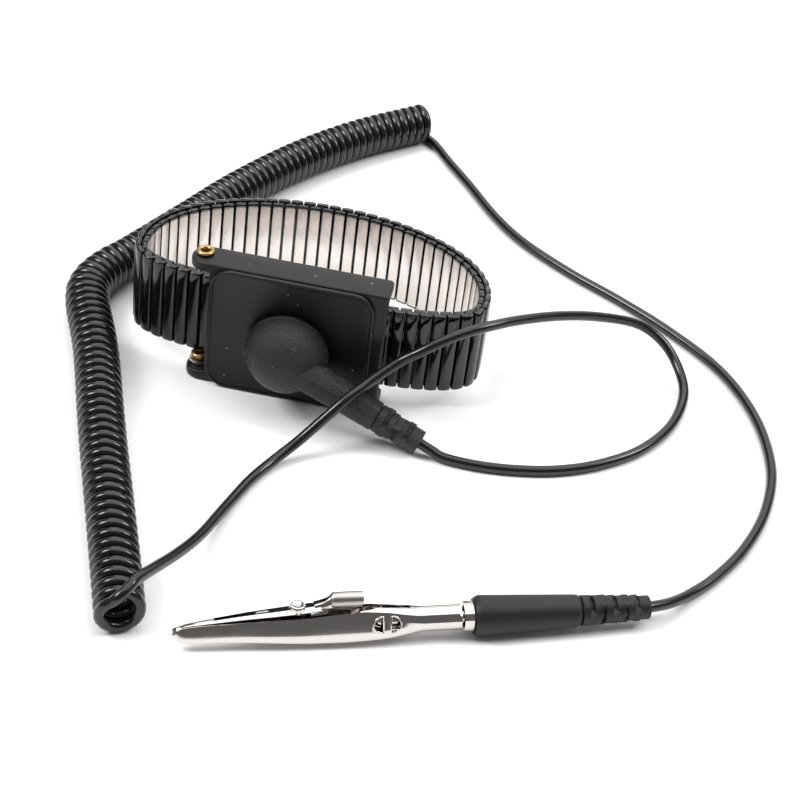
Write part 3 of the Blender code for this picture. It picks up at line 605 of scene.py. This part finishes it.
def sleeve_shape():
    """The box behind a shell, seen as the inner row of bricks on the band's rim."""
    rings = []
    for z, inset in ((-8.85, 0.14), (-8.7, 0.0), (8.7, 0.0), (8.85, 0.14)):
        half, low, high = 1.14 - inset, -1.14 + inset, -0.02 - inset
        rings.append([Vector((x, y, z)) * MM for x, y in
                      ((-half, high), (-half, low), (half, low), (half, high))])
    return skin("sleeve", rings, LACQUER)


def strip_shape():
    """A bare steel strip with its two ends curled over the sleeve."""
    rings = []
    for z, y in ((-8.45, -1.1), (-8.3, -1.2), (-8.0, -1.28), (8.0, -1.28), (8.3, -1.2),
                 (8.45, -1.1)):
        half = 1.0 if abs(z) < 8.2 else 0.88
        rings.append([Vector((x, v, z)) * MM for x, v in
                      ((-half, y + 0.12), (-half, y + 0.03), (-half + 0.1, y), (half - 0.1, y),
                       (half, y + 0.03), (half, y + 0.12))])
    return skin("strip", rings, STAINLESS)


# %% A Geometry Nodes tree that repeats a shape along the line
def links_tree():
    """The node tree, and the identifier of each of its inputs."""
    tree = bpy.data.node_groups.new("links along the band", "GeometryNodeTree")
    kinds = {"Line": "NodeSocketObject", "Shape": "NodeSocketObject", "Count": "NodeSocketInt",
             "First share": "NodeSocketFloat", "Step": "NodeSocketFloat",
             "Finish": "NodeSocketMaterial"}
    sockets = {label: tree.interface.new_socket(label, in_out="INPUT", socket_type=kind).identifier
               for label, kind in kinds.items()}
    tree.interface.new_socket("Geometry", in_out="OUTPUT", socket_type="NodeSocketGeometry")
    add, link = tree.nodes.new, tree.links.new
    given, made = add("NodeGroupInput"), add("NodeGroupOutput")
    line, shape = add("GeometryNodeObjectInfo"), add("GeometryNodeObjectInfo")
    link(given.outputs["Line"], line.inputs["Object"])
    link(given.outputs["Shape"], shape.inputs["Object"])
    points = add("GeometryNodePoints")
    link(given.outputs["Count"], points.inputs["Count"])
    share = add("ShaderNodeMath")
    share.operation = "MULTIPLY_ADD"
    link(add("GeometryNodeInputIndex").outputs["Index"], share.inputs[0])
    link(given.outputs["Step"], share.inputs[1])
    link(given.outputs["First share"], share.inputs[2])
    sample = add("GeometryNodeSampleCurve")
    sample.mode = "FACTOR"
    sample.use_all_curves = True
    link(line.outputs["Geometry"], sample.inputs["Curves"])
    link(share.outputs[0], sample.inputs["Factor"])
    placed = add("GeometryNodeSetPosition")
    link(points.outputs["Points"], placed.inputs["Geometry"])
    link(sample.outputs["Position"], placed.inputs["Position"])
    aim = add("FunctionNodeAlignRotationToVector")
    aim.axis = "X"
    aim.pivot_axis = "Z"
    link(sample.outputs["Tangent"], aim.inputs["Vector"])
    copies = add("GeometryNodeInstanceOnPoints")
    link(placed.outputs["Geometry"], copies.inputs["Points"])
    link(shape.outputs["Geometry"], copies.inputs["Instance"])
    link(aim.outputs["Rotation"], copies.inputs["Rotation"])
    real = add("GeometryNodeRealizeInstances")
    link(copies.outputs["Instances"], real.inputs["Geometry"])
    painted = add("GeometryNodeSetMaterial")
    link(real.outputs["Geometry"], painted.inputs["Geometry"])
    link(given.outputs["Finish"], painted.inputs["Material"])
    link(painted.outputs["Geometry"], made.inputs["Geometry"])
    return tree, sockets


LINKS_TREE, LINKS_INPUTS = links_tree()


def repeated(name, shape, paint, first, count):
    """A plain mesh of the shape at shares of the band line, one link apart."""
    piece = new_piece(name, bpy.data.meshes.new(name), paint)
    step = piece.modifiers.new("links", "NODES")
    step.node_group = LINKS_TREE
    values = {"Line": line_object, "Shape": shape, "Count": count, "First share": first,
              "Step": 0.5 / PAIRS, "Finish": paint}
    for label, value in values.items():
        step[LINKS_INPUTS[label]] = value
    return baked(piece, 50.0)


def joined(name, pieces):
    """Several pieces made one mesh."""
    made = bmesh.new()
    for piece in pieces:
        made.from_mesh(piece.data)
    mesh = bpy.data.meshes.new(name)
    made.to_mesh(mesh)
    made.free()
    paint = pieces[0].data.materials[0]
    for piece in pieces:
        bpy.data.objects.remove(piece, do_unlink=True)
    return new_piece(name, mesh, paint)


# %% Twenty-six pairs
shell, sleeve, strip = shell_shape(), sleeve_shape(), strip_shape()
for pair in range(PAIRS):
    first = pair / PAIRS
    body = f"links {pair + 1:02d}"
    inner_count = 2 if pair + 1 < PAIRS else 1
    outer = repeated("outer", shell, LACQUER, first + 0.25 / PAIRS, 2)
    inner = repeated("inner", sleeve, LACQUER, first + 0.5 / PAIRS, inner_count)
    links = joined(f"band_links_{pair + 1:02d}", [outer, inner])
    settle(links, body, "gloss_black", f"link_pair_{pair + 1:02d}")
    strips = repeated(f"steel_strips_{pair + 1:02d}", strip, STAINLESS, first + 0.5 / PAIRS,
                      inner_count)
    settle(strips, body, "steel")
for used in (shell, sleeve, strip, line_object):
    bpy.data.objects.remove(used, do_unlink=True)
print("band links made:", 2 * PAIRS, "shells")

# %% [markdown]
# ## The case
# The case is one moulding: a front wall between a roof and a floor, whose left ends reach
# out as rounded ears for the hinge pin. It is drawn out of one outline, hollowed, and its
# edges are rounded with a Bevel. The front cover is a raised plate with a thin bead.

# %% Case moulding
CASE_LEFT, CASE_RIGHT, CASE_HEIGHT = -22.1, 17.5, 28.0
CASE_FRONT, CASE_BACK = -13.7, -7.1
HINGE_X, HINGE_Y = -19.7, -9.8

case = drawn_out("case_moulding",
                 rounded_box_outline(CASE_LEFT, CASE_FRONT, CASE_RIGHT, CASE_BACK, 3.2, 0.9),
                 0.0, CASE_HEIGHT, CASE_BLACK)
cut(case, block("hollow", (-40, CASE_FRONT + 1.4, 2.0), (40, 0, CASE_HEIGHT - 2.0), CASE_BLACK))
cut(case, block("mouth", (-40, -20, 2.0), (-17.9, 0, CASE_HEIGHT - 2.0), CASE_BLACK))
round_edges(case, 0.45)
hinge_line = Matrix.Translation(Vector((HINGE_X, HINGE_Y, 0)) * MM)
cut(case, turned("pin_hole", [(1.5, -1), (1.5, 40)], hinge_line, CASE_BLACK))
settle(case, "case", "black_plastic", "case")

# %% Front cover with its bead
COVER_HALF, COVER_CORNER = 16.3, 4.2


def front_frame(y):
    """Local X to the right, Y up and Z towards the front, from a plane behind the piece."""
    return Matrix.Translation(Vector((-1.15, y, 0)) * MM) @ Matrix.Rotation(math.pi / 2, 4, "X")


def cover_ring(inset, depth):
    """One level of the cover: its outline drawn in by an inset, at a depth in mm."""
    corner = max(0.4, COVER_CORNER - inset)
    outline = rounded_box_outline(-COVER_HALF + inset, 0.2 + inset, COVER_HALF - inset,
                                  27.8 - inset, corner, corner)
    place = front_frame(CASE_FRONT - 0.3)
    return [place @ (Vector((x, y, depth)) * MM) for x, y in outline]


cover = skin("cover", [cover_ring(0.0, 0.0), cover_ring(0.0, 0.55), cover_ring(0.06, 0.70),
                       cover_ring(0.2, 0.78), cover_ring(0.42, 0.78), cover_ring(0.56, 0.72),
                       cover_ring(0.66, 0.58), cover_ring(0.85, 0.5)], CASE_BLACK)
baked(cover, 50.0)
settle(cover, "case", "black_plastic", "front_cover")

# %% [markdown]
# Two brass eyelets stand on the hinge line. Their lips are rolled over, so each is a
# turned ring whose section is a small loop.

# %% Eyelets and the steel back plate
def rolled_eyelet(name, lip, bottom, node):
    """A short tube on the hinge line whose top is rolled outwards."""
    section = [(0.75, bottom), (1.2, bottom), (1.2, lip - 0.75)]
    for i in range(9):
        angle = math.radians(-80 + 260 * i / 8)
        section.append((1.32 + 0.48 * math.cos(angle), lip - 0.42 + 0.42 * math.sin(angle)))
    section.append((0.78, lip - 0.6))
    piece = baked(turned(name, section, hinge_line, BRASS, 48, bore=True), 50.0)
    return settle(piece, "case", "brass", node)


rolled_eyelet("top_eyelet", 28.85, 24.5, "eyelet_top")
rolled_eyelet("bottom_eyelet", 4.25, 0.35, "eyelet_bottom")

# The CAD model's own pieces that are kept only take a finish.
KEPT_NODES = {
    "back_plate": STAINLESS, "band_anchor_left": STAINLESS, "band_anchor_right": STAINLESS,
    "stud_washer": STAINLESS, "snap_socket": STAINLESS, "snap_ring": STAINLESS,
    "clip_spring": STAINLESS, "snap_stud": NICKEL, "banana_pin": NICKEL, "pin_cage": BRASS,
    "resistor": RESISTOR,
}
for node, paint in KEPT_NODES.items():
    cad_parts[node].data.materials.clear()
    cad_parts[node].data.materials.append(paint)

# %% [markdown]
# ## The soft head
# A domed button covers the press stud and a neck leaves its side. It is a single rubbery
# moulding with a crisp line where the two meet: a turned dome, joined by an exact Boolean
# to a neck with eight rounded facets.

# %% Dome and neck
SNAP_X, SNAP_Z = -1.0, 12.6
NECK_START = Vector((SNAP_X, -18.8, SNAP_Z)) * MM
NECK_DIRECTION = Vector((0.935, -0.152, -0.322)).normalized()
DOME_RADIUS, DOME_REAR, DOME_FRONT = 8.3, 15.2, 23.4
NECK_TWIST = 12.0

dome_place = axis_frame(Vector((SNAP_X, 0, SNAP_Z)) * MM, (0, -1, 0))
shoulder = DOME_REAR + 1.1
profile = [(0.01, DOME_REAR), (DOME_RADIUS - 0.35, DOME_REAR), (DOME_RADIUS, DOME_REAR + 0.35),
           (DOME_RADIUS, shoulder - 0.2)]
for i in range(25):
    angle = math.radians(90 * i / 24)
    profile.append((max(0.01, (DOME_RADIUS - 0.12) * math.cos(angle) ** 0.92),
                    shoulder + (DOME_FRONT - shoulder) * math.sin(angle)))
head = baked(turned("head", profile, dome_place, HEAD_BLACK, 96), 60.0)
neck_place = axis_frame(NECK_START, NECK_DIRECTION)
neck_place = neck_place @ Matrix.Rotation(math.radians(NECK_TWIST), 4, "Z")
neck_rings = [(3.75, 0), (3.55, 8), (3.3, 15), (3.2, 20.9), (2.95, 21.4)]
neck = turned("neck", neck_rings, neck_place, HEAD_BLACK, 8)
round_edges(neck, 0.5, 4, 25.0)
cut(head, neck, "UNION")
cut(head, turned("pocket", [(5.4, DOME_REAR - 1), (5.4, DOME_REAR + 1.2), (4.15, DOME_REAR + 1.2),
                            (4.15, DOME_REAR + 4.6)], dome_place, HEAD_BLACK, 48))
baked(head, 24.0)
settle(head, "head", "soft_black", "head_moulding")
print("head:", len(head.data.polygons), "faces")


# %% [markdown]
# ## Strain reliefs
# A relief is a row of rings on a thin core, and between each two rings a pair of bridges
# turns by a quarter from one gap to the next. That makes the chequer of dark windows.

# %% Reliefs for head and plug
def relief(name, place, start, end, first, last, rings, paint):
    """Rings from start to end along local Z whose radius runs from first to last, in mm."""
    pitch = (end - start) / rings
    core = (first + last) / 2 * 0.72
    profile = []
    for i in range(rings):
        radius = first + (last - first) * i / max(1, rings - 1)
        low, high = start + pitch * i, start + pitch * (i + 0.6)
        if i == rings - 1:
            high = end
        profile += [(core, low), (radius - 0.12, low), (radius, low + 0.12),
                    (radius, high - 0.12), (radius - 0.12, high)]
        if i < rings - 1:
            profile.append((core, high))
    piece = turned(name, profile, place, paint, 40)
    for i in range(rings - 1):
        radius = first + (last - first) * (i + 0.5) / (rings - 1) - 0.15
        low, high = start + pitch * (i + 0.6) - 0.2, start + pitch * (i + 1) + 0.2
        wide, thin = (radius, core * 0.75) if i % 2 else (core * 0.75, radius)
        cut(piece, block("bridge", (-wide, -thin, low), (wide, thin, high), paint, place), "UNION")
    return baked(piece, 40.0)


head_relief = relief("head_relief_rings", neck_place, 21.35, 31.0, 2.85, 2.5, 4, HEAD_BLACK)
settle(head_relief, "head", "soft_black", "head_relief")

# %% [markdown]
# ## The plug
# Local X of this placing runs from the front face of the handle towards the cord, along
# the table. The handle is a turned cone with a small bevel, and a nickel pin is hidden
# inside the clip's barrel.

# %% Handle and its relief
PLUG_FRONT, PLUG_TURN = Vector((45.3, -70.1, 3.7)), 20.5

plug_place = Matrix.Translation(PLUG_FRONT * MM)
plug_place = plug_place @ Matrix.Rotation(math.radians(PLUG_TURN), 4, "Z")
plug_axis = plug_place @ Matrix.Rotation(math.pi / 2, 4, "Y")

handle = turned("handle", [(3.1, 0.0), (3.55, 0.75), (3.66, 1.2), (3.5, 5.0), (2.95, 18.4),
                           (2.86, 19.1), (2.6, 19.3)], plug_axis, PLUG_BLACK, 64)
settle(baked(handle, 50.0), "head", "soft_black", "plug_handle")
plug_relief = relief("plug_relief_rings", plug_axis, 19.6, 32.3, 2.75, 2.15, 6, PLUG_BLACK)
settle(plug_relief, "head", "soft_black", "plug_relief")

# %% [markdown]
# ## The clip
# The clip is folded from thin nickel plated sheet. Its rear is rolled into a barrel and
# opens into a channel with a round bottom, which narrows to the tip. The upper jaw is a
# narrower channel turned over, with an embossed boss, a small slot, and a thumb end
# rolled into a tube. Both are skins over rounded sections.


# %% Sections of folded sheet
CLIP_ROLL = -20.0
clip_place = plug_place @ Matrix.Rotation(math.radians(CLIP_ROLL), 4, "X")


def section(x, low, high, half, corner, crown=0.0, steps=6):
    """A rounded box across the clip, in mm: its walls lean in, and its top can be crowned."""
    corner = min(corner, half - 0.01, (high - low) / 2 - 0.01)
    lean = 0.17 * min(1.0, max(0.0, (-x - 10.5) / 4))
    flat = [(half, low + corner + (high - low - 2 * corner) * k / 4) for k in (1, 2, 3)]
    points = []
    for y, z, start in ((half - corner, low + corner, -90), (half - corner, high - corner, 0),
                        (corner - half, high - corner, 90), (corner - half, low + corner, 180)):
        points += [(y + corner * math.cos(math.radians(start + 90 * i / steps)),
                    z + corner * math.sin(math.radians(start + 90 * i / steps)))
                   for i in range(steps + 1)]
        if start == -90:
            points += flat
        if start == 90:
            points += [(-y, z) for y, z in flat[::-1]]
    made = []
    for y, z in points:
        share = (z - low) / (high - low)
        z -= crown * share * (high - low) * (y / half)**2
        made.append(clip_place @ (Vector((x, y * (1 - lean * share**2), z)) * MM))
    return made


def eased(stations, steps=6):
    """Stations with smooth in-between values, so that the skin has no kinks."""
    line = smooth_line([(s[0], s[1], s[2]) for s in stations], steps)
    rest = smooth_line([(s[0], s[3], s[4]) for s in stations], steps)
    return [(a.x / MM, a.y / MM, a.z / MM, b.y / MM, b.z / MM) for a, b in zip(line, rest)]


def across(x, z):
    """Local Z across the clip, from one wall to the other."""
    place = clip_place @ Matrix.Translation(Vector((x, 0, z)) * MM)
    return place @ Matrix.Rotation(math.pi / 2, 4, "X")


# %% Lower jaw and barrel
WALL = 0.38
OUTSIDE = [(-2.4, -2.32, 2.32, 2.32, 2.31), (-5.5, -2.32, 2.32, 2.32, 2.31),
           (-9.2, -2.34, 2.32, 2.32, 2.3), (-12.5, -2.75, 2.45, 2.3, 1.8),
           (-15.7, -3.05, 2.7, 2.25, 1.3), (-21.7, -3.4, 2.9, 2.1, 1.15),
           (-30.0, -3.3, 2.25, 1.9, 1.05), (-36.0, -2.95, 1.9, 1.68, 0.95),
           (-40.0, -2.7, 1.65, 1.38, 0.8), (-44.0, -2.55, 1.3, 1.15, 0.65),
           (-50.6, -2.35, 0.7, 0.85, 0.45), (-52.8, -1.0, -0.4, 0.25, 0.12)]
inside = [(x, low + WALL, high - WALL, half - WALL, max(0.1, corner - WALL))
          for x, low, high, half, corner in OUTSIDE[:-1]]
inside = [(0.0, -1.94, 1.94, 1.94, 1.93)] + inside
slot = [(-16.6, 0.0, 5.0, 0.5, 0.1), (-18.4, 0.0, 5.0, 1.4, 0.1), (-21.7, 0.0, 5.0, 1.75, 0.1),
        (-30.0, 0.0, 5.0, 1.58, 0.1), (-36.0, 0.0, 5.0, 1.36, 0.1), (-40.0, 0.0, 5.0, 1.1, 0.1),
        (-50.4, 0.0, 5.0, 0.5, 0.1)]
lower = skin("lower_jaw", [section(*s) for s in eased(OUTSIDE)], NICKEL)
cut(lower, skin("hollow", [section(*s) for s in eased(inside)], NICKEL))
cut(lower, skin("mouth", [section(*s) for s in slot], NICKEL))

LANCE_X, LANCE_Z = -15.7, 0.05
LANCE_HALF_BAR, LANCE_WIDE, LANCE_HIGH = 0.68, 1.78, 1.5


def half_moon(side):
    """The outline of one lance, in mm from the middle of the pair."""
    outline = []
    for i in range(17):
        angle = math.radians(-90 + 180 * i / 16)
        outline.append((side * (LANCE_HALF_BAR + LANCE_WIDE * math.cos(angle)),
                        LANCE_HIGH * math.sin(angle)))
    return outline


def lance_rim(name, outline, front):
    """A thin rounded rim on the wall around one lance, on the near or the far side."""
    path = [Vector((LANCE_X + x, front * 2.25 * (1 - 0.17 * ((z + LANCE_Z + 3.05) / 5.75)**2),
                    LANCE_Z + z)) for x, z in outline]
    rings = []
    for i, point in enumerate(path):
        along = (path[(i + 1) % len(path)] - path[i - 1]).normalized()
        out = Vector((0, 1, 0))
        side = along.cross(out)
        rings.append([clip_place @ ((point + (side * math.cos(a) + out * math.sin(a)) * 0.17)
                                    * MM) for a in (math.pi * k / 4 for k in range(8))])
    return skin(name, rings, NICKEL, loop=True)


rims = []
for side in (-1, 1):
    outline = half_moon(side)
    cut(lower, drawn_out("lance", outline, -6, 6, NICKEL, across(LANCE_X, LANCE_Z)))
    rims += [lance_rim("rim", outline, front) for front in (-1, 1)]
lance_rims = baked(joined("lance_rims", rims), 60.0)
settle(lance_rims, "clip", "nickel")
notch = block("notch", (-12.9, -0.55, 1.2), (-11.3, 0.7, 4.0), NICKEL, clip_place)
cut(lower, notch)
round_edges(lower, 0.11, 2, 50.0)
settle(lower, "clip", "nickel", "clip_body")
print("lower jaw:", len(lower.data.polygons), "faces")

PIVOT_X, PIVOT_Z = -27.5, 0.8
rivet = turned("rivet", [(0.45, -1.62), (0.5, -1.5), (0.5, 1.5), (0.45, 1.62)],
               across(PIVOT_X, PIVOT_Z), NICKEL, 32)
settle(baked(rivet, 50.0), "clip", "nickel", "clip_pivot")

# %% [markdown]
# The upper jaw lies along the lips of the lower one. It has an embossed button, a small
# slot, and at the rear a neck that carries the rolled thumb end. Its two legs drop inside
# the walls to the hidden pin.

# %% Upper jaw
COVER = [(-52.7, -0.1, 0.45, 0.3, 0.15), (-50.6, 0.82, 1.05, 0.75, 0.11),
         (-48.0, 1.12, 1.6, 0.95, 0.22), (-44.0, 1.45, 2.15, 1.12, 0.33),
         (-40.0, 1.8, 2.7, 1.36, 0.42), (-36.0, 2.08, 3.15, 1.6, 0.5),
         (-30.0, 2.5, 3.8, 1.75, 0.6), (-27.3, 2.75, 4.05, 1.6, 0.6)]
upper = skin("upper_jaw", [section(*s, crown=0.62) for s in eased(COVER)], NICKEL)
trough = [(-45.0, -1.0, 1.55, 0.45, 0.1), (-40.0, -1.0, 2.0, 0.8, 0.1),
          (-30.4, -1.0, 2.9, 1.15, 0.1)]
cut(upper, skin("trough", [section(*s) for s in trough], NICKEL))
legs = [(-29.0, -0.5, 3.2, 1.15, 0.3), (-26.0, -0.5, 3.2, 1.15, 0.3)]
cut(upper, skin("legs", [section(*s) for s in legs], NICKEL), "UNION")
rear_neck = [(-28.4, 3.0, 3.9, 1.15, 0.3), (-26.6, 3.1, 4.4, 1.05, 0.3),
             (-25.2, 3.3, 5.3, 0.9, 0.3), (-24.2, 3.6, 5.6, 0.8, 0.3)]
cut(upper, skin("rear_neck", [section(*s) for s in eased(rear_neck)], NICKEL), "UNION")
under = [(-31.0, -3.0, 2.9, 0.75, 0.2), (-25.0, -3.0, 2.9, 0.75, 0.2)]
cut(upper, skin("under", [section(*s) for s in under], NICKEL))
cut(upper, block("small_slot", (-38.6, -0.75, 2.3), (-36.2, -0.25, 5.0), NICKEL, clip_place))
button_place = clip_place @ Matrix.Translation(Vector((-31.3, -0.35, 3.4)) * MM)
button_place = button_place @ Matrix.Rotation(math.radians(14), 4, "X")
button = turned("button", [(1.46, -0.6), (1.46, 0.35), (1.3, 0.6), (1.05, 0.62), (0.85, 0.48),
                           (0.4, 0.42)], button_place, NICKEL, 40)
cut(upper, button, "UNION")
cut(upper, turned("leg_holes", [(0.6, -6), (0.6, 6)], across(PIVOT_X, PIVOT_Z), NICKEL, 24))
round_edges(upper, 0.09, 2, 50.0)
settle(upper, "clip jaw", "nickel", "clip_jaw")

thumb_place = clip_place @ Matrix.Translation(Vector((-22.6, 0, 4.3)) * MM)
thumb_place = thumb_place @ Matrix.Rotation(math.radians(90), 4, "Y")
thumb = turned("thumb_roll", [(1.0, -2.7), (1.2, -2.8), (1.38, -2.5), (1.42, 2.5), (1.36, 2.75),
                              (1.16, 2.8), (1.08, 2.6)], thumb_place, SATIN, 48, bore=True)
settle(baked(thumb, 50.0), "clip jaw", "nickel")
